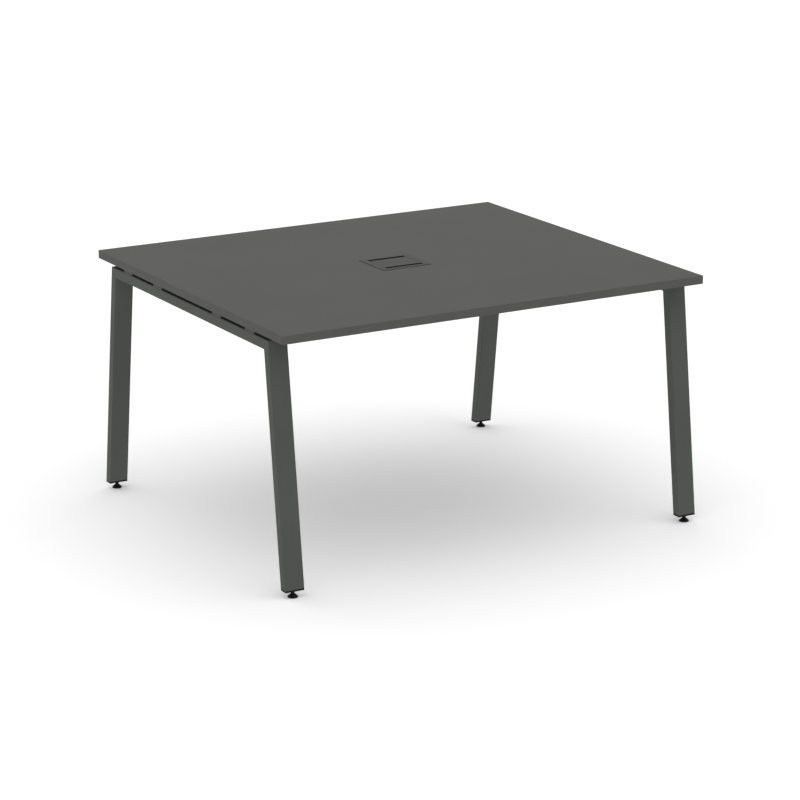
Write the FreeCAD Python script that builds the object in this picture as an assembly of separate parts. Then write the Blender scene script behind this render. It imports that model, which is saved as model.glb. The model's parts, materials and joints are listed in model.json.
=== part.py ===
import FreeCAD, Part
import math
import os

# Conference table: an edge-banded board on two trapezoid tube frames, with spacers under the board,
# tie beams, levelling feet and a cable port. Millimetres. +X runs along the long side, the front edge
# lies at -Y, +Z is up, and the origin is on the floor under the middle of the board.

# Board
top_length = 1400.0
top_width = 1200.0
top_thickness = 25.0
table_height = 760.0
band_thickness = 2.0
band_round = 1.0
board_corner = 1.5

# End frames
tube_wide = 60.0
tube_narrow = 30.0
tube_wall = 2.0
tube_corner = 2.5
frame_end_inset = 2.0
shoulder_inset = 90.0
ankle_inset = 3.0

# Spacers between frame and board: the outer ones are placed from the frame's upper outer corner,
# the inner ones at a share of the outer ones' distance from the middle
spacer_height = 9.0
spacer_length = 56.0
spacer_recess = 1.0
spacer_corner = 2.0
outer_spacer_inset = 114.0
inner_spacer_share = 0.485

# Screws that hold the board
top_screw_diameter = 5.0
top_screw_cover = 9.0
top_screw_head_diameter = 10.0
top_screw_head_height = 3.2
top_screw_socket = 4.0
top_screw_tip = 1.0
driver_hole_diameter = 14.0

# Tie beams, one under each pair of inner spacers
beam_wide = 50.0
beam_wall = 2.0
plate_thickness = 4.0
plate_lug = 36.0
plate_corner = 4.0

# Bolts, washers and rivet nuts at the beam ends
bolt_diameter = 8.0
bolt_head_flats = 13.0
bolt_head_height = 5.3
bolt_chamfer_angle = 30.0
bolt_grip_length = 16.0
washer_diameter = 16.0
washer_thickness = 1.6
rivet_nut_wall = 1.5
rivet_nut_length = 15.0
rivet_nut_flange = 1.0
rivet_nut_lip = 2.0
rivet_nut_bulge = 3.5

# Levelling feet
foot_height = 20.0
plug_flange = 5.5
plug_depth = 30.0
insert_wall = 2.0
insert_length = 16.0
stem_diameter = 8.0
stem_show = 2.5
stem_engagement = 24.0
stem_chamfer = 1.0
stem_head_lip = 2.0
stem_head_height = 3.5
pad_diameter = 30.0
pad_rim = 3.0
pad_edge = 1.0
pad_floor = 3.0
pad_collar_wall = 1.0
pad_collar_height = 5.5

# Cable port
port_length = 166.0
port_width = 150.0
port_raise = 2.0
port_corner = 3.0
port_edge_round = 1.5
port_end_border = 20.5
port_side_border = 15.0
slot_width = 14.0
skirt_wall = 2.0
skirt_margin = 6.0
port_screw_inset = 22.5
port_screw_diameter = 3.5
port_screw_head_diameter = 6.5
port_screw_length = 16.0
port_recess_span = 3.4
port_recess_arm = 0.9
port_recess_depth = 1.2

# Port lid and its hinge
lid_thickness = 2.0
lid_corner = 1.0
lid_edge_round = 0.5
lid_end_gap = 0.5
lid_ear_thickness = 2.0
lid_ear_radius = 5.0
lid_swing = 100.0
hinge_setback = 6.0
hinge_drop = 5.0
hinge_pin_diameter = 4.0
lug_width = 2.5
lug_length = 8.0
lug_height = 4.0

# Fits and clearances
running_fit = 0.05
hole_fit = 0.1
screw_clearance = 0.25
plug_fit = 0.2
cutout_clearance = 1.0
stem_bore_clearance = 0.5
lid_rest_gap = 0.2
pilot_spare = 1.0
sharpest_corner = 0.5

# Places worked out from the sizes above
underside = table_height - top_thickness
frame_top = underside - spacer_height
crossbar_middle = frame_top - tube_narrow / 2
shoulder_y = top_width / 2 - shoulder_inset
ankle_y = top_width / 2 - ankle_inset
frame_x = top_length / 2 - frame_end_inset - tube_wide / 2
frame_inner_x = frame_x - tube_wide / 2
lean = math.atan2(ankle_y - shoulder_y, frame_top - foot_height)
foot_y = ankle_y - tube_narrow / 2 / math.cos(lean)
plug_top = foot_height + plug_flange
outer_spacer_y = shoulder_y - outer_spacer_inset
inner_spacer_y = inner_spacer_share * outer_spacer_y
beam_y = inner_spacer_y
bolt_offset = beam_wide / 2 + plate_lug / 2
top_screw_bite = top_thickness - top_screw_cover
far = top_length + top_width + table_height

port_top = table_height + port_raise
opening_length = port_length - 2 * port_end_border
opening_width = port_width - 2 * port_side_border
lid_width = opening_width - 2 * slot_width
lid_length = opening_length - 2 * lid_end_gap
lid_bottom = port_top - lid_thickness
hinge_y = lid_width / 2 - hinge_setback
hinge_z = lid_bottom - hinge_drop
swing = math.radians(lid_swing)
lid_rise = hinge_drop + lid_thickness
stop_y = hinge_y + hinge_setback * math.cos(swing) + lid_rise * math.sin(swing)
stop_z = hinge_z - hinge_setback * math.sin(swing) + lid_rise * math.cos(swing) - lid_rest_gap
skirt_bottom = min(underside, stop_z - lug_height) - skirt_margin
port_screw_x = opening_length / 2 - port_screw_inset
port_screw_z = (table_height + underside) / 2

vector = FreeCAD.Vector
UP = vector(0, 0, 1)
ALONG_X = FreeCAD.Rotation(vector(1, 1, 1), 120)
ALONG_Y = FreeCAD.Rotation(vector(1, 0, 0), -90)
AGAINST_Y = FreeCAD.Rotation(vector(1, 0, 0), 90)
SIDES = {"left": -1, "right": 1}
ENDS = {"front": -1, "rear": 1}
NEARLY_ZERO = 1e-6


def block(low, high):
    """Box between two opposite corners."""
    size = vector(*high) - vector(*low)
    return Part.makeBox(size.x, size.y, size.z, vector(*low))


def rod(radius, start, end):
    """Round bar between two points."""
    run = vector(*end) - vector(*start)
    return Part.makeCylinder(radius, run.Length, vector(*start), run)


def rounded_face(width, height, radius):
    """Flat rounded rectangle about the origin, width along X and height along Y."""
    x, y = width / 2, height / 2
    bow = radius * (1 - math.sqrt(0.5))
    corners = ((1, 1), (-1, 1), (-1, -1), (1, -1))
    edges = []
    last = None
    for sx, sy in corners:
        beside = vector(sx * x, sy * (y - radius), 0)
        above = vector(sx * (x - radius), sy * y, 0)
        middle = vector(sx * (x - bow), sy * (y - bow), 0)
        start, end = (beside, above) if sx == sy else (above, beside)
        if last is not None:
            edges.append(Part.makeLine(last, start))
        edges.append(Part.Arc(start, middle, end).toShape())
        last = end
    edges.append(Part.makeLine(last, vector(x, y - radius, 0)))
    return Part.Face(Part.Wire(edges))


def bar(width, height, radius, length):
    """Solid rounded bar that runs up from the origin."""
    return rounded_face(width, height, radius).extrude(UP * length)


def inner_corner(wall):
    """Inside corner radius of a tube with the given wall."""
    return max(tube_corner - wall, sharpest_corner)


def tube(width, height, wall, length):
    """Rectangular tube that runs up from the origin."""
    hollow = bar(width - 2 * wall, height - 2 * wall, inner_corner(wall), length)
    return bar(width, height, tube_corner, length).cut(hollow)


def turned(points):
    """Solid turned about +Z from an outline of (radius, height) points."""
    outline = [vector(radius, 0, height) for radius, height in points]
    face = Part.Face(Part.makePolygon(outline + outline[:1]))
    return face.revolve(vector(0, 0, 0), UP, 360)


def rounded_top(plate, radius):
    """Copy of a level plate with its upper edges rounded."""
    top = plate.BoundBox.ZMax
    upper = [edge for edge in plate.Edges if edge.BoundBox.ZMin > top - NEARLY_ZERO]
    return plate.makeFillet(radius, upper)


def hexagon(flats, height):
    """Hexagonal prism about +Z with the given width across its flats."""
    radius = flats / math.sqrt(3)
    angles = [turn * math.pi / 3 for turn in range(7)]
    corners = [vector(radius * math.cos(angle), radius * math.sin(angle), 0) for angle in angles]
    return Part.Face(Part.makePolygon(corners)).extrude(UP * height)


def placed(shape, base, rotation=FreeCAD.Rotation()):
    """Copy of a shape turned by rotation and then moved to base."""
    copy = shape.copy()
    copy.Placement = FreeCAD.Placement(vector(*base), rotation)
    return copy


def to_rear(shape, x):
    """Copy of a front piece at x, turned half round to the same x at the rear."""
    copy = shape.copy()
    copy.rotate(vector(x, 0, 0), UP, 180)
    return copy


def half_space(point, normal):
    """Very large block on the side of a plane that its normal points to."""
    blank = Part.makeBox(far, far, far, vector(-far / 2, -far / 2, 0))
    return placed(blank, point, FreeCAD.Rotation(UP, vector(*normal)))


# Board and edge bands

def banded_blank():
    """The whole board with its edge bands, rounded at the corners and along the upper and lower edges."""
    blank = placed(bar(top_length, top_width, board_corner, top_thickness), (0, 0, underside))
    level = [edge for edge in blank.Edges if edge.BoundBox.ZLength < NEARLY_ZERO]
    return blank.makeFillet(band_round, level)


def spacer_places(side):
    """Centres of the four spacers on one crossbar, from front to rear."""
    rows = (-outer_spacer_y, -inner_spacer_y, inner_spacer_y, outer_spacer_y)
    return [(side * frame_x, y) for y in rows]


def port_screw_places():
    """End and X place of each screw that holds the port's frame."""
    return [(end, x) for end in ENDS.values() for x in (-port_screw_x, port_screw_x)]


def board(blank):
    """The panel inside the edge bands, with the port's cut-out and the screws' pilot holes."""
    core_x, core_y = top_length / 2 - band_thickness, top_width / 2 - band_thickness
    panel = blank.common(block((-core_x, -core_y, 0), (core_x, core_y, far)))
    cut_x = opening_length / 2 + skirt_wall + cutout_clearance
    cut_y = opening_width / 2 + skirt_wall + cutout_clearance
    panel = panel.cut(block((-cut_x, -cut_y, 0), (cut_x, cut_y, far)))
    pilot = top_screw_diameter / 2 + hole_fit
    for side in SIDES.values():
        for x, y in spacer_places(side):
            top = underside + top_screw_bite + pilot_spare
            panel = panel.cut(rod(pilot, (x, y, frame_top), (x, y, top)))
    side_pilot = port_screw_diameter / 2 + hole_fit
    for end, x in port_screw_places():
        inner_y = end * opening_width / 2
        outer_y = inner_y + end * (port_screw_length + pilot_spare)
        panel = panel.cut(rod(side_pilot, (x, inner_y, port_screw_z), (x, outer_y, port_screw_z)))
    return panel


def edge_bands(blank):
    """Long bands over the full length and short bands between them."""
    half_x, half_y = top_length / 2, top_width / 2
    core_x, core_y = half_x - band_thickness, half_y - band_thickness
    return {
        "edge_band_front": blank.common(block((-half_x, -half_y, 0), (half_x, -core_y, far))),
        "edge_band_rear": blank.common(block((-half_x, core_y, 0), (half_x, half_y, far))),
        "edge_band_left": blank.common(block((-half_x, -core_y, 0), (-core_x, core_y, far))),
        "edge_band_right": blank.common(block((core_x, -core_y, 0), (half_x, core_y, far))),
    }


# End frames

def mitre(end):
    """Corner and normal of the mitre between a crossbar and a leg, the normal towards the crossbar."""
    corner = (0, end * shoulder_y, frame_top)
    normal = (0, -end * (1 + math.sin(lean)), math.cos(lean))
    return corner, normal


def leg_bar(shape_maker, x):
    """A bar made along the axis of the front leg at x, longer than the leg at both ends."""
    up = vector(0, math.sin(lean), math.cos(lean))
    inward = vector(0, math.cos(lean), -math.sin(lean))
    overrun = 2 * tube_narrow
    length = (frame_top - foot_height) / math.cos(lean) + 2 * overrun
    base = vector(x, -ankle_y, foot_height) + inward * (tube_narrow / 2) - up * overrun
    tilt = FreeCAD.Rotation(vector(1, 0, 0), -math.degrees(lean))
    return placed(shape_maker(length), (base.x, base.y, base.z), tilt)


def front_leg(x):
    """Leaning leg at the front, mitred at the top and cut level above the plug's flange."""
    leg = leg_bar(lambda length: tube(tube_wide, tube_narrow, tube_wall, length), x)
    leg = leg.cut(half_space(*mitre(-1)))
    return leg.cut(half_space((0, 0, plug_top), (0, 0, -1)))


def bolt_places():
    """Y places of the four beam bolts in each crossbar."""
    return [end * beam_y + offset for end in ENDS.values() for offset in (-bolt_offset, bolt_offset)]


def crossbar(side):
    """Crossbar with mitred ends, screw holes up and down and rivet nut holes in its inner side."""
    x = side * frame_x
    length = 2 * shoulder_y + 2 * tube_narrow
    rail = tube(tube_wide, tube_narrow, tube_wall, length)
    rail = placed(rail, (x, length / 2, crossbar_middle), AGAINST_Y)
    for end in ENDS.values():
        corner, normal = mitre(end)
        rail = rail.cut(half_space(corner, [-part for part in normal]))
    for place_x, y in spacer_places(side):
        screw_hole = top_screw_diameter / 2 + screw_clearance
        rail = rail.cut(rod(screw_hole, (place_x, y, crossbar_middle), (place_x, y, underside)))
        rail = rail.cut(rod(driver_hole_diameter / 2, (place_x, y, 0), (place_x, y, crossbar_middle)))
    nut_hole = bolt_diameter / 2 + rivet_nut_wall + hole_fit
    for y in bolt_places():
        rail = rail.cut(rod(nut_hole, (x, y, crossbar_middle), (0, y, crossbar_middle)))
    return rail


# Spacers and board screws

def spacer(place):
    """Block between a crossbar and the board, with the screw's hole."""
    pad = bar(tube_wide - 2 * spacer_recess, spacer_length, spacer_corner, spacer_height)
    hole = rod(top_screw_diameter / 2 + screw_clearance, (0, 0, 0), (0, 0, spacer_height))
    return placed(pad.cut(hole), (*place, frame_top))


def top_screw():
    """Board screw with its head's seat at the origin, pointing up."""
    shank = top_screw_diameter / 2
    head = top_screw_head_diameter / 2
    tip = tube_wall + spacer_height + top_screw_bite
    outline = [(0, -top_screw_head_height), (head - shank / 2, -top_screw_head_height),
               (head, -top_screw_head_height / 2), (head, 0), (shank, 0),
               (shank, tip - top_screw_diameter), (top_screw_tip / 2, tip), (0, tip)]
    socket = placed(hexagon(top_screw_socket, top_screw_head_height / 2), (0, 0, -top_screw_head_height))
    return turned(outline).cut(socket)


def top_screws():
    """All the board screws, heads inside the crossbars against their upper wall."""
    screw = top_screw()
    places = spacer_places(-1) + spacer_places(1)
    return Part.makeCompound([placed(screw, (*place, frame_top - tube_wall)) for place in places])


# Tie beams and their fastenings

def beam_plate(side, end):
    """End plate of a beam, seated on the flanges of the rivet nuts."""
    face_x = frame_inner_x - rivet_nut_flange
    plate = bar(beam_wide + 2 * plate_lug, tube_narrow, plate_corner, plate_thickness)
    hole = bolt_diameter / 2 + screw_clearance
    for offset in (-bolt_offset, bolt_offset):
        plate = plate.cut(rod(hole, (offset, 0, 0), (offset, 0, plate_thickness)))
    start_x = face_x - plate_thickness if side > 0 else -face_x
    return placed(plate, (start_x, end * beam_y, crossbar_middle), ALONG_X)


def beam(end):
    """Tube between two end plates."""
    half = frame_inner_x - rivet_nut_flange - plate_thickness
    rail = tube(beam_wide, tube_narrow, beam_wall, 2 * half)
    return placed(rail, (-half, end * beam_y, crossbar_middle), ALONG_X)


def beam_bolt():
    """Hexagon bolt along +Z with the seat of its head at the origin and the head's corners chamfered."""
    flat, corner = bolt_head_flats / 2, bolt_head_flats / math.sqrt(3)
    chamfer = (corner - flat) * math.tan(math.radians(bolt_chamfer_angle))
    outline = [(0, -bolt_head_height), (flat, -bolt_head_height), (corner, chamfer - bolt_head_height),
               (corner, 0), (0, 0)]
    head = placed(hexagon(bolt_head_flats, bolt_head_height), (0, 0, -bolt_head_height))
    shank = rod(bolt_diameter / 2, (0, 0, 0), (0, 0, washer_thickness + bolt_grip_length))
    return head.common(turned(outline)).fuse(shank).removeSplitter()


def beam_washer():
    """Flat washer on +Z from the origin."""
    ring = rod(washer_diameter / 2, (0, 0, 0), (0, 0, washer_thickness))
    return ring.cut(rod(bolt_diameter / 2 + screw_clearance, (0, 0, 0), (0, 0, washer_thickness)))


def rivet_nut():
    """Set rivet nut along +Z, with its flange below the origin and the tube's wall above it."""
    bore = bolt_diameter / 2 + running_fit
    sleeve = bolt_diameter / 2 + rivet_nut_wall
    lip = sleeve + rivet_nut_lip
    outline = [(bore, -rivet_nut_flange), (lip, -rivet_nut_flange), (lip, 0), (sleeve, 0),
               (sleeve, tube_wall), (lip, tube_wall), (sleeve, tube_wall + rivet_nut_bulge),
               (sleeve, rivet_nut_length), (bore, rivet_nut_length)]
    return turned(outline)


def at_beam_ends(piece, seat_x):
    """Eight copies of a piece that points along +Z, set outwards at seat_x on both crossbars."""
    copies = []
    for side in SIDES.values():
        outward = FreeCAD.Rotation(UP, vector(side, 0, 0))
        copies += [placed(piece, (side * seat_x, y, crossbar_middle), outward) for y in bolt_places()]
    return Part.makeCompound(copies)


def beam_fastenings():
    """Bolts, washers and rivet nuts, each kind as one group."""
    plate_x = frame_inner_x - rivet_nut_flange - plate_thickness
    return {
        "beam_bolts": at_beam_ends(beam_bolt(), plate_x - washer_thickness),
        "beam_washers": at_beam_ends(beam_washer(), plate_x - washer_thickness),
        "rivet_nuts": at_beam_ends(rivet_nut(), frame_inner_x),
    }


# Levelling feet

def front_plug(x):
    """End plug of the front leg at x: a flange under the tube, a body in it and an upright bore."""
    inner_wide = tube_wide - 2 * tube_wall - 2 * plug_fit
    inner_narrow = tube_narrow - 2 * tube_wall - 2 * plug_fit
    flange = leg_bar(lambda length: bar(tube_wide, tube_narrow, tube_corner, length), x)
    flange = flange.common(block((-far, -far, foot_height), (far, far, plug_top)))
    body = leg_bar(lambda length: bar(inner_wide, inner_narrow, inner_corner(tube_wall), length), x)
    body = body.common(block((-far, -far, plug_top), (far, far, plug_top + plug_depth)))
    seat = stem_diameter / 2 + insert_wall + hole_fit
    above = stem_diameter / 2 + stem_bore_clearance
    insert_top = foot_height + insert_length
    plug = flange.fuse(body).removeSplitter()
    plug = plug.cut(rod(seat, (x, -foot_y, 0), (x, -foot_y, insert_top)))
    return plug.cut(rod(above, (x, -foot_y, 0), (x, -foot_y, far)))


def foot_insert():
    """Threaded bush in a plug, flush with the plug's lower face."""
    bush = rod(stem_diameter / 2 + insert_wall, (0, 0, foot_height), (0, 0, foot_height + insert_length))
    bore = rod(stem_diameter / 2 + running_fit, (0, 0, 0), (0, 0, far))
    return bush.cut(bore)


def foot_stem():
    """Threaded stem with a flat head that turns inside the pad."""
    shank = stem_diameter / 2
    head = shank + stem_head_lip
    top = foot_height + stem_engagement
    return turned([(0, pad_floor), (head, pad_floor), (head, pad_floor + stem_head_height),
                   (shank, pad_floor + stem_head_height), (shank, top - stem_chamfer),
                   (shank - stem_chamfer, top), (0, top)])


def foot_pad():
    """Round pad with a rim, a cone and a collar, hollow where the stem's head turns."""
    rim = pad_diameter / 2
    neck = stem_diameter / 2 + running_fit
    collar = neck + pad_collar_wall
    pocket = stem_diameter / 2 + stem_head_lip + running_fit
    top = foot_height - stem_show
    pocket_floor = pad_floor - running_fit
    pocket_top = pad_floor + stem_head_height + running_fit
    return turned([(0, 0), (rim - pad_edge, 0), (rim, pad_edge), (rim, pad_rim),
                   (collar, top - pad_collar_height), (collar, top), (neck, top), (neck, pocket_top),
                   (pocket, pocket_top), (pocket, pocket_floor), (0, pocket_floor)])


# Cable port

def countersunk(radius, head_radius):
    """Countersunk screw, or the hole for one, along +Z with the face of its head at the origin."""
    return turned([(0, 0), (head_radius, 0), (radius, skirt_wall),
                   (radius, port_screw_length), (0, port_screw_length)])


def cross_recess():
    """Cross that a screwdriver fits, up from the origin."""
    half, arm = port_recess_span / 2, port_recess_arm / 2
    slot = block((-half, -arm, 0), (half, arm, port_recess_depth))
    return slot.fuse(block((-arm, -half, 0), (arm, half, port_recess_depth))).removeSplitter()


def in_skirt(shape, end, x):
    """Copy of a screw or its hole, from the inside of a long skirt wall outwards."""
    outward = ALONG_Y if end > 0 else AGAINST_Y
    return placed(shape, (x, end * opening_width / 2, port_screw_z), outward)


def lid_lugs():
    """Lugs on the short skirt walls: rests under the lid's front edge, stops for its rear edge when open."""
    lugs = []
    wall_x = opening_length / 2
    rest_y = -lid_width / 2 + lug_length / 2
    for y, top in ((rest_y, lid_bottom - lid_rest_gap), (stop_y, stop_z)):
        for side in SIDES.values():
            low_x, high_x = sorted((side * wall_x, side * (wall_x - lug_width)))
            low = (low_x, y - lug_length / 2, top - lug_height)
            lugs.append(block(low, (high_x, y + lug_length / 2, top)))
    return lugs


def port_frame():
    """Raised rim on the board with a skirt down into the cut-out, lugs and holes."""
    rim = rounded_top(bar(port_length, port_width, port_corner, port_raise), port_edge_round)
    rim = placed(rim, (0, 0, table_height))
    skirt_x, skirt_y = opening_length / 2 + skirt_wall, opening_width / 2 + skirt_wall
    skirt = block((-skirt_x, -skirt_y, skirt_bottom), (skirt_x, skirt_y, table_height))
    open_x, open_y = opening_length / 2, opening_width / 2
    frame = rim.fuse(skirt).removeSplitter()
    frame = frame.cut(block((-open_x, -open_y, 0), (open_x, open_y, far)))
    frame = frame.fuse(lid_lugs()).removeSplitter()
    pin_hole = hinge_pin_diameter / 2 + running_fit
    frame = frame.cut(rod(pin_hole, (-skirt_x, hinge_y, hinge_z), (skirt_x, hinge_y, hinge_z)))
    hole = countersunk(port_screw_diameter / 2 + hole_fit, port_screw_head_diameter / 2 + hole_fit)
    for end, x in port_screw_places():
        frame = frame.cut(in_skirt(hole, end, x))
    return frame


def port_lid():
    """Flat lid with an ear for a hinge pin at each end."""
    half_x = lid_length / 2
    lid = rounded_top(bar(lid_length, lid_width, lid_corner, lid_thickness), lid_edge_round)
    lid = placed(lid, (0, 0, lid_bottom))
    for side in SIDES.values():
        low, high = sorted((side * half_x, side * (half_x - lid_ear_thickness)))
        ear = rod(lid_ear_radius, (low, hinge_y, hinge_z), (high, hinge_y, hinge_z))
        front, rear = hinge_y - lid_ear_radius, hinge_y + lid_ear_radius
        web = block((low, front, hinge_z), (high, rear, lid_bottom))
        lid = lid.fuse([ear, web])
    pin_hole = hinge_pin_diameter / 2 + running_fit
    hole = rod(pin_hole, (-half_x, hinge_y, hinge_z), (half_x, hinge_y, hinge_z))
    return lid.removeSplitter().cut(hole)


def hinge_pin(side):
    """Pin from the outside of a short skirt wall to the inside of the lid's ear."""
    outer = side * (opening_length / 2 + skirt_wall)
    inner = side * (lid_length / 2 - lid_ear_thickness)
    return rod(hinge_pin_diameter / 2, (outer, hinge_y, hinge_z), (inner, hinge_y, hinge_z))


def port_screws():
    """The four screws of the port's frame as one group, each with a recess in its head."""
    screw = countersunk(port_screw_diameter / 2, port_screw_head_diameter / 2).cut(cross_recess())
    return Part.makeCompound([in_skirt(screw, end, x) for end, x in port_screw_places()])


def build():
    """All the pieces by name."""
    blank = banded_blank()
    pieces = {"table_top": board(blank), "top_screws": top_screws()}
    pieces.update(edge_bands(blank))
    pieces.update(beam_fastenings())
    for side_name, side in SIDES.items():
        pieces[f"crossbar_{side_name}"] = crossbar(side)
        for number, place in enumerate(spacer_places(side), 1):
            pieces[f"spacer_{side_name}_{number}"] = spacer(place)
        x = side * frame_x
        leg, plug = front_leg(x), front_plug(x)
        for end_name, end in ENDS.items():
            corner = f"{end_name}_{side_name}"
            pieces[f"leg_{corner}"] = leg if end < 0 else to_rear(leg, x)
            pieces[f"leg_plug_{corner}"] = plug if end < 0 else to_rear(plug, x)
            for name, piece in (("insert", foot_insert()), ("stem", foot_stem()), ("pad", foot_pad())):
                pieces[f"foot_{name}_{corner}"] = placed(piece, (x, end * foot_y, 0))
            pieces[f"beam_plate_{corner}"] = beam_plate(side, end)
        pieces[f"lid_pin_{side_name}"] = hinge_pin(side)
    for end_name, end in ENDS.items():
        pieces[f"beam_{end_name}"] = beam(end)
    pieces["port_frame"] = port_frame()
    pieces["port_lid"] = port_lid()
    pieces["port_screws"] = port_screws()
    return pieces


os.makedirs("parts", exist_ok=True)
for name, shape in build().items():
    shape.exportStep(f"parts/{name}.step")
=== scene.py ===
import json
import math

import bmesh
import bpy
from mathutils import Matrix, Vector


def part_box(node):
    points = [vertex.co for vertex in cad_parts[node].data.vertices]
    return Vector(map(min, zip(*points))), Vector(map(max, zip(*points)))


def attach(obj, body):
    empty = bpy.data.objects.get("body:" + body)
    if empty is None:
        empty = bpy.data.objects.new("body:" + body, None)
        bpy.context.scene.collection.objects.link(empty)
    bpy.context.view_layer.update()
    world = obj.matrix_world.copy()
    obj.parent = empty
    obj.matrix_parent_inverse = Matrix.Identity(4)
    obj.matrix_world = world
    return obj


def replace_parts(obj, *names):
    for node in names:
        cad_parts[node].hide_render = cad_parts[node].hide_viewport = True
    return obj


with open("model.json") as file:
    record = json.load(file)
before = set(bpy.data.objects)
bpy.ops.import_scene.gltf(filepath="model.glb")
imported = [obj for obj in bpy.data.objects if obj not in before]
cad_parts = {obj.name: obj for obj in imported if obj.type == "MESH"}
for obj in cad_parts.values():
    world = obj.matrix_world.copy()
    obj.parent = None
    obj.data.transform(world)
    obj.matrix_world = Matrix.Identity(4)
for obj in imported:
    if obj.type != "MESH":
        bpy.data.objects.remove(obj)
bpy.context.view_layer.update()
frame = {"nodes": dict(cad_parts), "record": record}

# Looks of a conference table: charcoal board and edge band, powder-coated tube frames, moulded spacers
# and feet, a painted cable port and plated fastenings. Metres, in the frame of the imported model.

# Camera
view_turn = math.radians(30.178)
view_drop = math.radians(15.989)
camera_place = (-4.2320, -7.3062, 2.7507)
sensor_size = 36.0
focal_length = 130.09
sight_limit = 240.0

# Studio
white = (1.0, 1.0, 1.0, 1.0)
overhead_light = 1.21
front_light = 0.32
softbox_power = 16.0
softbox_size = 6.0
softbox_place = (0.0, 1.5, 4.0)
floor_half = 60.0
floor_cells = 8
floor_light = 0.91
floor_glow = 0.175

# Thread of the feet
thread_pitch = 0.00125
thread_depth = 0.00070
thread_steps = 32
thread_profile = ((0.0, 1.0), (0.25, 1.0), (0.5625, 0.0), (0.6875, 0.0))
merge_distance = 1e-7

# Pads of the feet
pad_rim = 0.003
pad_hollow = 0.0004
pad_ring = 0.0025
pad_collar = 0.0055
pad_ease = 0.0008
turn_steps = 64
ease_steps = 4
ease_share = 0.45

# Welds
bead_leg = 0.003
bead_pitch = 0.0021
bead_step = 0.0003
bead_ripple = 0.035
bead_bow = 0.0012
bead_crown = 0.20
bead_arc = 8
bead_root = 0.0003

# Softened edges of moulded and sheared pieces
plug_soften = 0.0006
plate_soften = 0.0005
node_merge = 1e-6
flat_angle = 0.01
crease_angle = math.radians(40)
soften_steps = 2

# Finishes
glue_line = 0.00015
paint_lap = 0.0002
level_face = 0.5
texture_middle = (0.3, 0.7)
fine_stops = (0.38, 0.62)
broad_stops = (0.30, 0.70)
broad_share = 0.35
ramp_middle = 0.5

# Shades on a screen's scale from 0 to 255, a dark and a light one where the finish wavers between two
board_shades = ((83, 83, 81), (89, 90, 87))
band_shades = ((84, 85, 82), (94, 95, 92))
glue_shade = (40, 40, 39)
port_shades = ((74, 75, 72), (84, 85, 82))
# Near-black uncoated plastic of the cable port, kept this dark as painted shade inside the cable slots
uncoated_and_painted_shade_shades = ((10, 10, 11), (16, 16, 17))
spacer_shades = ((80, 81, 78), (89, 90, 87))
frame_shades = ((80, 82, 79), (89, 91, 88))
black_shades = ((18, 18, 19), (26, 26, 27))
zinc_shades = ((168, 171, 174), (196, 198, 200))
brass_shades = ((196, 160, 88), (214, 180, 108))

# Stops of the bare chipboard's colour ramps
chip_stops = ((0.15, (150, 116, 76)), (0.55, (186, 152, 106)), (0.90, (206, 178, 134)))
dust_stops = ((0.35, (128, 98, 64)), (0.65, (200, 168, 122)))

SIDES = ("left", "right")
ENDS = {"front": -1, "rear": 1}
CORNERS = [f"{end}_{side}" for end in ENDS for side in SIDES]


def tint(red, green, blue):
    """Linear colour of a shade."""
    def linear(level):
        share = level / 255
        return share / 12.92 if share <= 0.04045 else ((share + 0.055) / 1.055) ** 2.4
    return (linear(red), linear(green), linear(blue), 1.0)


def give(tree, socket, value):
    """Links a socket to another one, or sets it to a plain value."""
    if isinstance(value, bpy.types.NodeSocket):
        tree.links.new(value, socket)
    else:
        socket.default_value = value


def math_node(tree, operation, *values):
    """Result of a sum or a test on numbers and sockets."""
    node = tree.nodes.new("ShaderNodeMath")
    node.operation = operation
    for socket, value in zip(node.inputs, values):
        give(tree, socket, value)
    return node.outputs["Value"]


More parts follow.
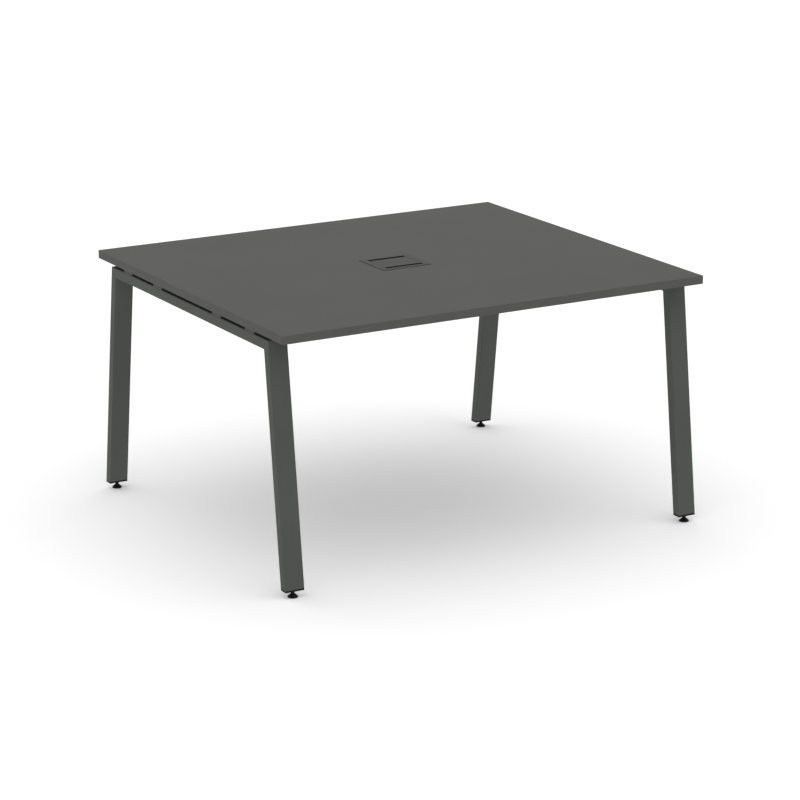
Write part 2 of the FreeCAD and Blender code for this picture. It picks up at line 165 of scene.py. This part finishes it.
class Finish:
    """A material around one shader, with helpers for the textures that feed it."""

    def __init__(self, name, **sockets):
        self.material = bpy.data.materials.new(name)
        self.material.use_nodes = True
        self.tree = self.material.node_tree
        self.shader = self.tree.nodes["Principled BSDF"]
        for socket, value in sockets.items():
            self.shader.inputs[socket.replace("_", " ")].default_value = value
        self.place = self.add("ShaderNodeTexCoord").outputs["Object"]

    def add(self, kind, inputs=None, **settings):
        """New node with its settings made and its inputs set or linked."""
        node = self.tree.nodes.new(kind)
        for setting, value in settings.items():
            setattr(node, setting, value)
        for socket, value in (inputs or {}).items():
            give(self.tree, node.inputs[socket], value)
        return node

    def feed(self, socket, value):
        """Links a texture to a socket of the shader."""
        self.tree.links.new(value, self.shader.inputs[socket])

    def scaled(self, size, stretch):
        """Place on the surface, counted in features of a size along each axis."""
        scale = tuple(part / size for part in stretch)
        return self.add("ShaderNodeMapping", {"Vector": self.place, "Scale": scale}).outputs["Vector"]

    def noise(self, size, detail=2.0, stretch=(1.0, 1.0, 1.0)):
        """Cloudy noise with features of about the given size."""
        inputs = {"Vector": self.scaled(size, stretch), "Scale": 1.0, "Detail": detail}
        return self.add("ShaderNodeTexNoise", inputs).outputs["Fac"]

    def cells(self, size, output="Distance", stretch=(1.0, 1.0, 1.0)):
        """Cell pattern with cells of about the given size."""
        inputs = {"Vector": self.scaled(size, stretch), "Scale": 1.0}
        return self.add("ShaderNodeTexVoronoi", inputs).outputs[output]

    def spread(self, value, low, high):
        """Maps the middle of a texture's range to a range of numbers."""
        start, end = texture_middle
        inputs = {"Value": value, "From Min": start, "From Max": end, "To Min": low, "To Max": high}
        return self.add("ShaderNodeMapRange", inputs).outputs["Result"]

    def ramp(self, value, *stops):
        """Colour ramp through (position, shade) stops."""
        node = self.add("ShaderNodeValToRGB", {"Fac": value})
        elements = node.color_ramp.elements
        while len(elements) < len(stops):
            elements.new(ramp_middle)
        for element, (position, shade) in zip(elements, stops):
            element.position = position
            element.color = tint(*shade)
        return node.outputs["Color"]

    def mix(self, share, first, second):
        """Mixes two colours."""
        node = self.add("ShaderNodeMix", data_type="RGBA")
        for name, value in (("Factor_Float", share), ("A_Color", first), ("B_Color", second)):
            give(self.tree, next(item for item in node.inputs if item.identifier == name), value)
        return next(item for item in node.outputs if item.identifier == "Result_Color")

    def math(self, operation, *values):
        """Result of a sum or a test on numbers and sockets."""
        return math_node(self.tree, operation, *values)

    def along(self, axis, source="Object"):
        """One axis of the surface's place, or of its normal, in the model's frame."""
        vector = self.add("ShaderNodeTexCoord").outputs[source]
        return self.add("ShaderNodeSeparateXYZ", {"Vector": vector}).outputs[axis]

    def reach(self, axis):
        """Distance from the middle of the model along an axis."""
        return self.math("ABSOLUTE", self.along(axis))

    def lies_level(self):
        """One where the surface lies level, nought where it stands."""
        return self.math("GREATER_THAN", self.math("ABSOLUTE", self.along("Z", "Normal")), level_face)

    def bump(self, height, depth, strength, under=None):
        """Bump of the given depth, over another bump where one is given."""
        inputs = {"Height": height, "Distance": depth, "Strength": strength}
        if under is not None:
            inputs["Normal"] = under
        return self.add("ShaderNodeBump", inputs).outputs["Normal"]


def speckled(finish, shades, grain, cloud):
    """Colour that wavers between two close shades, as a fine grain over a broad cloud."""
    fine = finish.ramp(finish.noise(grain, detail=3.0), *zip(fine_stops, shades))
    broad = finish.ramp(finish.noise(cloud), *zip(broad_stops, shades))
    return finish.mix(broad_share, fine, broad)


def melamine():
    """Charcoal decor with a soft pearl grain, and bare chipboard where the board is cut through."""
    finish = Finish("melamine", Specular_IOR_Level=0.12)
    decor = speckled(finish, board_shades, grain=0.0006, cloud=0.22)
    cells = finish.cells(size=0.0022, output="Color", stretch=(1.0, 1.0, 2.6))
    chips = finish.ramp(cells, *chip_stops)
    dust = finish.ramp(finish.noise(size=0.0007, detail=3.0), *dust_stops)
    core = finish.mix(share=0.35, first=chips, second=dust)
    finish.feed("Base Color", finish.mix(finish.lies_level(), core, decor))
    finish.feed("Roughness", finish.spread(finish.noise(size=0.0010), low=0.62, high=0.74))
    pearl = finish.bump(finish.noise(size=0.0009), depth=0.00005, strength=0.5)
    waves = finish.noise(size=0.03, detail=1.0)
    finish.feed("Normal", finish.bump(waves, depth=0.00006, strength=0.25, under=pearl))
    return finish.material


def edge_banding():
    """Extruded plastic band in the board's colour, with fine lines along it and a dark glue line."""
    finish = Finish("edge_banding", Specular_IOR_Level=0.10)
    band = speckled(finish, band_shades, grain=0.0005, cloud=0.15)
    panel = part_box("table_top")[1]
    ends = finish.math("COMPARE", finish.reach("X"), panel.x, glue_line)
    between = finish.math("LESS_THAN", finish.reach("Y"), panel.y)
    sides = finish.math("COMPARE", finish.reach("Y"), panel.y, glue_line)
    glued = finish.math("MAXIMUM", finish.math("MINIMUM", ends, between), sides)
    finish.feed("Base Color", finish.mix(glued, band, tint(*glue_shade)))
    finish.feed("Roughness", finish.spread(finish.noise(size=0.0015), low=0.50, high=0.62))
    streaks = finish.noise(size=0.0008, stretch=(0.04, 0.04, 1.0))
    lines = finish.bump(streaks, depth=0.00003, strength=0.35)
    grain = finish.noise(size=0.0007)
    finish.feed("Normal", finish.bump(grain, depth=0.00003, strength=0.4, under=lines))
    return finish.material


def powder_coat(name, shades):
    """Fine-textured powder coat with a slight orange peel."""
    finish = Finish(name, Specular_IOR_Level=0.12)
    finish.feed("Base Color", speckled(finish, shades, grain=0.0004, cloud=0.18))
    finish.feed("Roughness", finish.spread(finish.noise(size=0.0008), low=0.50, high=0.66))
    grain = finish.bump(finish.noise(size=0.0006, detail=3.0), depth=0.00006, strength=0.6)
    peel = finish.noise(size=0.0045, detail=1.0)
    finish.feed("Normal", finish.bump(peel, depth=0.00008, strength=0.35, under=grain))
    return finish.material


def port_finish(name, coated_where):
    """Powder coat over black plastic, which is left uncoated and near black where the coat doesn't
    reach, as painted shade that makes the cable slots and the well under them read dark.
    """
    finish = Finish(name, Specular_IOR_Level=0.12)
    paint = speckled(finish, port_shades, grain=0.0004, cloud=0.05)
    # Near black where uncoated: painted shade that darkens the cable slots and the well below them
    uncoated_and_painted_shade = speckled(finish, uncoated_and_painted_shade_shades, grain=0.0004, cloud=0.02)
    finish.feed("Base Color", finish.mix(coated_where(finish), uncoated_and_painted_shade, paint))
    finish.feed("Roughness", finish.spread(finish.noise(size=0.0008), low=0.62, high=0.74))
    grain = finish.noise(size=0.0006, detail=3.0)
    finish.feed("Normal", finish.bump(grain, depth=0.00006, strength=0.6))
    return finish.material


def rim_coat(finish):
    """One on the frame's rim above the board's face, nought on the skirt and inside the opening, which
    get near-black painted shade.
    """
    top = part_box("port_frame")[1].z
    points = [vert.co for vert in frame["nodes"]["port_frame"].data.vertices
              if top - vert.co.z < node_merge]
    half_x = min(abs(point.x) for point in points)
    half_y = min(abs(point.y) for point in points)
    beside = finish.math("GREATER_THAN", finish.reach("X"), half_x + paint_lap)
    before = finish.math("GREATER_THAN", finish.reach("Y"), half_y + paint_lap)
    above = finish.math("GREATER_THAN", finish.along("Z"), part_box("table_top")[1].z - merge_distance)
    return finish.math("MINIMUM", finish.math("MAXIMUM", beside, before), above)


def lid_coat(finish):
    """One on the lid's level faces, nought on its edges and ears, which get near-black painted shade
    beside the slots.
    """
    return finish.lies_level()


def moulded(name, shades, rough_low, rough_high):
    """Injection-moulded plastic with a spark-eroded grain and faint flow clouds."""
    finish = Finish(name, Specular_IOR_Level=0.12)
    finish.feed("Base Color", speckled(finish, shades, grain=0.0003, cloud=0.012))
    finish.feed("Roughness", finish.spread(finish.noise(size=0.004), rough_low, rough_high))
    finish.feed("Normal", finish.bump(finish.cells(size=0.00035), depth=0.00004, strength=0.6))
    return finish.material


def plated(name, shades):
    """Plated metal with fine turning marks and a cloudy sheen."""
    finish = Finish(name, Metallic=1.0)
    finish.feed("Base Color", speckled(finish, shades, grain=0.0008, cloud=0.006))
    sheen = finish.noise(size=0.0012, detail=3.0)
    finish.feed("Roughness", finish.spread(sheen, low=0.26, high=0.44))
    marks = finish.noise(size=0.0006, detail=0.0, stretch=(1.0, 1.0, 3.0))
    finish.feed("Normal", finish.bump(marks, depth=0.00001, strength=0.15))
    return finish.material


def new_piece(name, mesh, material, body):
    """Smooth object from a finished mesh, which rides on a body and takes its finish from a slot."""
    bmesh.ops.recalc_face_normals(mesh, faces=mesh.faces)
    data = bpy.data.meshes.new(name)
    mesh.to_mesh(data)
    mesh.free()
    data.shade_smooth()
    data.set_sharp_from_angle(angle=crease_angle)
    data.materials.append(material)
    piece = bpy.data.objects.new(name, data)
    bpy.context.scene.collection.objects.link(piece)
    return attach(piece, body)


def axis_of(node):
    """Place on the floor of the upright axis through the middle of a node."""
    low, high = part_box(node)
    return ((low.x + high.x) / 2, (low.y + high.y) / 2)


def node_radii(node, centre, height):
    """Distances from an upright axis of a node's points at one height."""
    points = [vert.co for vert in frame["nodes"][node].data.vertices]
    return [math.hypot(point.x - centre[0], point.y - centre[1]) for point in points
            if abs(point.z - height) < node_merge]


def stem_sizes(node, centre):
    """Shank radius of a stem and the height of its head's upper face."""
    points = [vert.co for vert in frame["nodes"][node].data.vertices]
    radii = [(math.hypot(point.x - centre[0], point.y - centre[1]), point.z) for point in points]
    head = max(radius for radius, height in radii)
    head_top = max(height for radius, height in radii if radius > head - node_merge)
    shank = max(radius for radius, height in radii if height > head_top + thread_pitch)
    return shank, head_top


def new_ring(mesh, centre, radius, height, steps):
    """Level ring of points about an upright axis."""
    ring = []
    for step in range(steps):
        angle = 2 * math.pi * step / steps
        x, y = centre[0] + radius * math.cos(angle), centre[1] + radius * math.sin(angle)
        ring.append(mesh.verts.new((x, y, height)))
    return ring


def join_rings(mesh, rings):
    """Bands of faces from each ring to the following one."""
    for ring, following in zip(rings, rings[1:]):
        for step in range(len(ring)):
            after = (step + 1) % len(ring)
            mesh.faces.new((ring[step], ring[after], following[after], following[step]))


def threaded_stem(corner, material):
    """Stem with a helical thread, a chamfered tip and a flat head."""
    node = f"foot_stem_{corner}"
    low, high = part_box(node)
    centre = axis_of(node)
    head = (high.x - low.x) / 2
    crest, bottom = stem_sizes(node, centre)
    root = crest - thread_depth
    top = high.z
    turns = math.ceil((top - bottom) / thread_pitch) + 1
    mesh = bmesh.new()
    rows = []
    for step in range(-thread_steps, (turns + 1) * thread_steps):
        angle = 2 * math.pi * step / thread_steps
        row = []
        for share, depth in thread_profile:
            z = bottom + thread_pitch * (step / thread_steps + share)
            z = min(max(z, bottom), top)
            radius = min(crest - depth * thread_depth, root + min(z - bottom, top - z))
            x, y = centre[0] + radius * math.cos(angle), centre[1] + radius * math.sin(angle)
            row.append(mesh.verts.new((x, y, z)))
        rows.append(row)
    strips = [row + [above[0]] for row, above in zip(rows, rows[thread_steps:])]
    for strip, following in zip(strips, strips[1:]):
        for index in range(len(thread_profile)):
            mesh.faces.new((strip[index], following[index], following[index + 1], strip[index + 1]))
    outline = ((root, bottom), (head, bottom), (head, low.z))
    rings = [new_ring(mesh, centre, radius, height, thread_steps) for radius, height in outline]
    join_rings(mesh, rings)
    mesh.faces.new(rings[-1])
    mesh.faces.new(new_ring(mesh, centre, root, top, thread_steps))
    bmesh.ops.remove_doubles(mesh, verts=mesh.verts, dist=merge_distance)
    piece = new_piece(f"thread_{corner}", mesh, material, f"stem_{corner}")
    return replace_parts(piece, node)


def eased(points, ease):
    """Outline with its inner corners rounded: each becomes a short curve that starts ease before it."""
    outline = [points[0]]
    for before, corner, after in zip(points, points[1:], points[2:]):
        back, onward = before - corner, after - corner
        start = corner + back.normalized() * min(ease, back.length * ease_share)
        end = corner + onward.normalized() * min(ease, onward.length * ease_share)
        for step in range(ease_steps + 1):
            share = step / ease_steps
            outline.append(start.lerp(corner, share).lerp(corner.lerp(end, share), share))
    return outline + [points[-1]]


def turned_mesh(outline, centre):
    """Closed surface turned about an upright axis from an outline of (radius, height) points."""
    mesh = bmesh.new()
    rings = [new_ring(mesh, centre, radius, height, turn_steps) for radius, height in outline]
    join_rings(mesh, rings)
    bmesh.ops.remove_doubles(mesh, verts=mesh.verts, dist=merge_distance)
    return mesh


def foot_pad(corner, material):
    """Moulded pad: a hollow sole with a ring to stand on, a round rim, a cone and a collar."""
    node = f"foot_pad_{corner}"
    low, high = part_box(node)
    centre = axis_of(node)
    top = high.z
    rim = (high.x - low.x) / 2
    mouth = node_radii(node, centre, top)
    bore, collar = min(mouth), max(mouth)
    shank, head_top = stem_sizes(f"foot_stem_{corner}", centre)
    ceiling = head_top + bore - shank
    sole = [(0.0, pad_hollow), (rim - pad_ring - pad_hollow, pad_hollow), (rim - pad_ring, 0.0),
            (rim, 0.0), (rim, pad_rim), (collar, top - pad_collar), (collar, top), (bore, top),
            (bore, ceiling), (0.0, ceiling)]
    mesh = turned_mesh(eased([Vector(point) for point in sole], pad_ease), centre)
    piece = new_piece(f"pad_{corner}_moulding", mesh, material, f"pad_{corner}")
    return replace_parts(piece, node)


def weld_bead(mesh, start, end, first, second):
    """Fillet weld along a corner line, rippled and tapered, between walls along first and second."""
    run = end - start
    steps = round(run.length / bead_step)
    rows = []
    for step in range(steps + 1):
        share = step / steps
        along = run.length * share
        taper = math.sqrt(min(1.0, (min(along, run.length - along) + bead_root) / bead_leg))
        corner = start + run * share
        row = [mesh.verts.new(corner - (first + second) * bead_root)]
        for arc in range(bead_arc + 1):
            angle = math.pi / 2 * arc / bead_arc
            outward = (first * math.cos(angle) + second * math.sin(angle)).normalized()
            bowed = along - bead_bow * math.sin(2 * angle)
            ripple = 1 + bead_ripple * math.sin(2 * math.pi * bowed / bead_pitch)
            reach = bead_leg * taper * ripple * (1 - bead_crown * math.sin(2 * angle))
            row.append(mesh.verts.new(corner + outward * reach))
        rows.append(row)
    for row, following in zip(rows, rows[1:]):
        for index, vert in enumerate(row):
            mesh.faces.new((vert, following[index], following[index - 1], row[index - 1]))
    mesh.faces.new(rows[0])
    mesh.faces.new(rows[-1])


def beam_welds(material):
    """Welds between the sides of each beam and its end plates."""
    mesh = bmesh.new()
    for end in ENDS:
        low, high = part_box(f"beam_{end}")
        for x, inward in ((low.x, 1), (high.x, -1)):
            for y, outward in ((low.y, -1), (high.y, 1)):
                start = Vector((x, y, low.z + bead_leg))
                finish = Vector((x, y, high.z - bead_leg))
                weld_bead(mesh, start, finish, Vector((0, outward, 0)), Vector((inward, 0, 0)))
    return new_piece("beam_welds", mesh, material, "table")


def corner_welds(material):
    """Welds in the inner corners between the crossbars and the legs."""
    mesh = bmesh.new()
    for side in SIDES:
        low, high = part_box(f"crossbar_{side}")
        under = [vert.co for vert in frame["nodes"][f"crossbar_{side}"].data.vertices
                 if abs(vert.co.z - low.z) < node_merge]
        for end, sign in ENDS.items():
            leg = frame["nodes"][f"leg_{end}_{side}"].data.vertices
            foot_z = min(vert.co.z for vert in leg)
            foot_y = min(sign * vert.co.y for vert in leg if abs(vert.co.z - foot_z) < node_merge)
            corner_y = max(sign * point.y for point in under)
            down = Vector((0, sign * (foot_y - corner_y), foot_z - low.z)).normalized()
            left = Vector((low.x + bead_leg, sign * corner_y, low.z))
            right = Vector((high.x - bead_leg, sign * corner_y, low.z))
            weld_bead(mesh, left, right, Vector((0, -sign, 0)), down)
    return new_piece("corner_welds", mesh, material, "table")


def softened(node, width, material, body):
    """Stands for a node with its sharp edges broken by a small round."""
    mesh = bmesh.new()
    mesh.from_mesh(frame["nodes"][node].data)
    bmesh.ops.remove_doubles(mesh, verts=mesh.verts, dist=node_merge)
    bmesh.ops.dissolve_limit(mesh, angle_limit=flat_angle, verts=mesh.verts, edges=mesh.edges)
    sharp = [edge for edge in mesh.edges if edge.calc_face_angle(0.0) > crease_angle]
    bmesh.ops.bevel(mesh, geom=sharp, offset=width, segments=soften_steps, profile=0.5, affect="EDGES")
    piece = new_piece(f"{node}_eased", mesh, material, body)
    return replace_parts(piece, node)


def emission(tree, strength):
    """White light from a surface."""
    node = tree.nodes.new("ShaderNodeEmission")
    node.inputs["Strength"].default_value = strength
    return node.outputs["Emission"]


def choice(tree, share, first, second):
    """First shader where the share is nought and second where it is one."""
    node = tree.nodes.new("ShaderNodeMixShader")
    for socket, value in zip(node.inputs, (share, first, second)):
        tree.links.new(value, socket)
    return node.outputs["Shader"]


def seen_rays(tree):
    """One for camera, glossy and transmitted rays, nought for the rest."""
    path = tree.nodes.new("ShaderNodeLightPath")
    value = path.outputs["Is Camera Ray"]
    for name in ("Is Glossy Ray", "Is Transmission Ray"):
        value = math_node(tree, "MAXIMUM", value, path.outputs[name])
    return value


def stage_material():
    """Pale floor: it shines evenly on the object, shows a white face with the object's shadow to the eye
    and in reflections, and is clear from below."""
    material = bpy.data.materials.new("studio_floor")
    material.use_nodes = True
    tree = material.node_tree
    tree.nodes.clear()
    shade = tree.nodes.new("ShaderNodeBsdfDiffuse")
    shade.inputs["Color"].default_value = white
    face = tree.nodes.new("ShaderNodeAddShader")
    tree.links.new(shade.outputs["BSDF"], face.inputs[0])
    tree.links.new(emission(tree, floor_glow), face.inputs[1])
    above = choice(tree, seen_rays(tree), emission(tree, floor_light), face.outputs["Shader"])
    clear = tree.nodes.new("ShaderNodeBsdfTransparent").outputs["BSDF"]
    behind = tree.nodes.new("ShaderNodeNewGeometry").outputs["Backfacing"]
    output = tree.nodes.new("ShaderNodeOutputMaterial")
    tree.links.new(choice(tree, behind, above, clear), output.inputs["Surface"])
    return material


def dome_light(tree):
    """Strength of the studio's dome by direction: most from overhead and some from the front."""
    split = tree.nodes.new("ShaderNodeSeparateXYZ")
    direction = tree.nodes.new("ShaderNodeTexCoord").outputs["Generated"]
    tree.links.new(direction, split.inputs["Vector"])
    upward = math_node(tree, "MAXIMUM", split.outputs["Z"], 0.0)
    forward = math_node(tree, "MINIMUM", split.outputs["Y"], 0.0)
    overhead = math_node(tree, "MULTIPLY", upward, overhead_light)
    return math_node(tree, "ADD", overhead, math_node(tree, "MULTIPLY", forward, -front_light))


def make_floor():
    """Wide level floor under the object."""
    mesh = bmesh.new()
    bmesh.ops.create_grid(mesh, x_segments=floor_cells, y_segments=floor_cells, size=floor_half)
    data = bpy.data.meshes.new("studio_floor")
    mesh.to_mesh(data)
    mesh.free()
    data.materials.append(stage_material())
    floor = bpy.data.objects.new("studio_floor", data)
    bpy.context.scene.collection.objects.link(floor)


def make_world():
    """Dome that lights the object and shows white to the eye and in reflections."""
    world = bpy.data.worlds.new("studio_world")
    world.use_nodes = True
    bpy.context.scene.world = world
    tree = world.node_tree
    light = tree.nodes["Background"]
    light.inputs["Color"].default_value = white
    tree.links.new(dome_light(tree), light.inputs["Strength"])
    backdrop = tree.nodes.new("ShaderNodeBackground")
    backdrop.inputs["Color"].default_value = white
    shown = choice(tree, seen_rays(tree), light.outputs["Background"], backdrop.outputs["Background"])
    tree.links.new(shown, tree.nodes["World Output"].inputs["Surface"])


def make_softbox():
    """Large softbox high up behind the object."""
    lamp = bpy.data.lights.new("softbox", "AREA")
    lamp.energy = softbox_power
    lamp.size = softbox_size
    softbox = bpy.data.objects.new("softbox", lamp)
    softbox.location = softbox_place
    softbox.visible_camera = False
    bpy.context.scene.collection.objects.link(softbox)


def make_camera():
    """Camera at the photograph's viewing angle."""
    data = bpy.data.cameras.new("camera")
    data.sensor_width = sensor_size
    data.lens = focal_length
    data.clip_end = sight_limit
    camera = bpy.data.objects.new("camera", data)
    camera.location = camera_place
    camera.rotation_euler = (math.pi / 2 - view_drop, 0.0, -view_turn)
    bpy.context.scene.collection.objects.link(camera)
    bpy.context.scene.camera = camera


def dress_nodes(finishes):
    """Gives each node the finish of its slot."""
    for part in frame["record"]["subparts"]:
        for slot in frame["nodes"][part["node"]].material_slots:
            slot.link = "OBJECT"
            slot.material = finishes[part["material_slot"]]


finishes = {
    "board": melamine(),
    "edge_band": edge_banding(),
    "spacer": moulded("spacer_plastic", spacer_shades, rough_low=0.50, rough_high=0.62),
    "frame_paint": powder_coat("frame_paint", frame_shades),
    "port_paint": port_finish("port_rim", rim_coat),
    "black_plastic": moulded("black_plastic", black_shades, rough_low=0.42, rough_high=0.58),
    "zinc_steel": plated("zinc_steel", zinc_shades),
    "brass": plated("brass", brass_shades),
}
dress_nodes(finishes)
frame["nodes"]["port_lid"].material_slots[0].material = port_finish("port_lid", lid_coat)
beam_welds(finishes["frame_paint"])
corner_welds(finishes["frame_paint"])
for corner in CORNERS:
    threaded_stem(corner, finishes["zinc_steel"])
    foot_pad(corner, finishes["black_plastic"])
    softened(f"leg_plug_{corner}", plug_soften, finishes["black_plastic"], "table")
    softened(f"beam_plate_{corner}", plate_soften, finishes["frame_paint"], "table")
make_floor()
make_world()
make_softbox()
make_camera()
bpy.context.scene.view_settings.view_transform = "Standard"
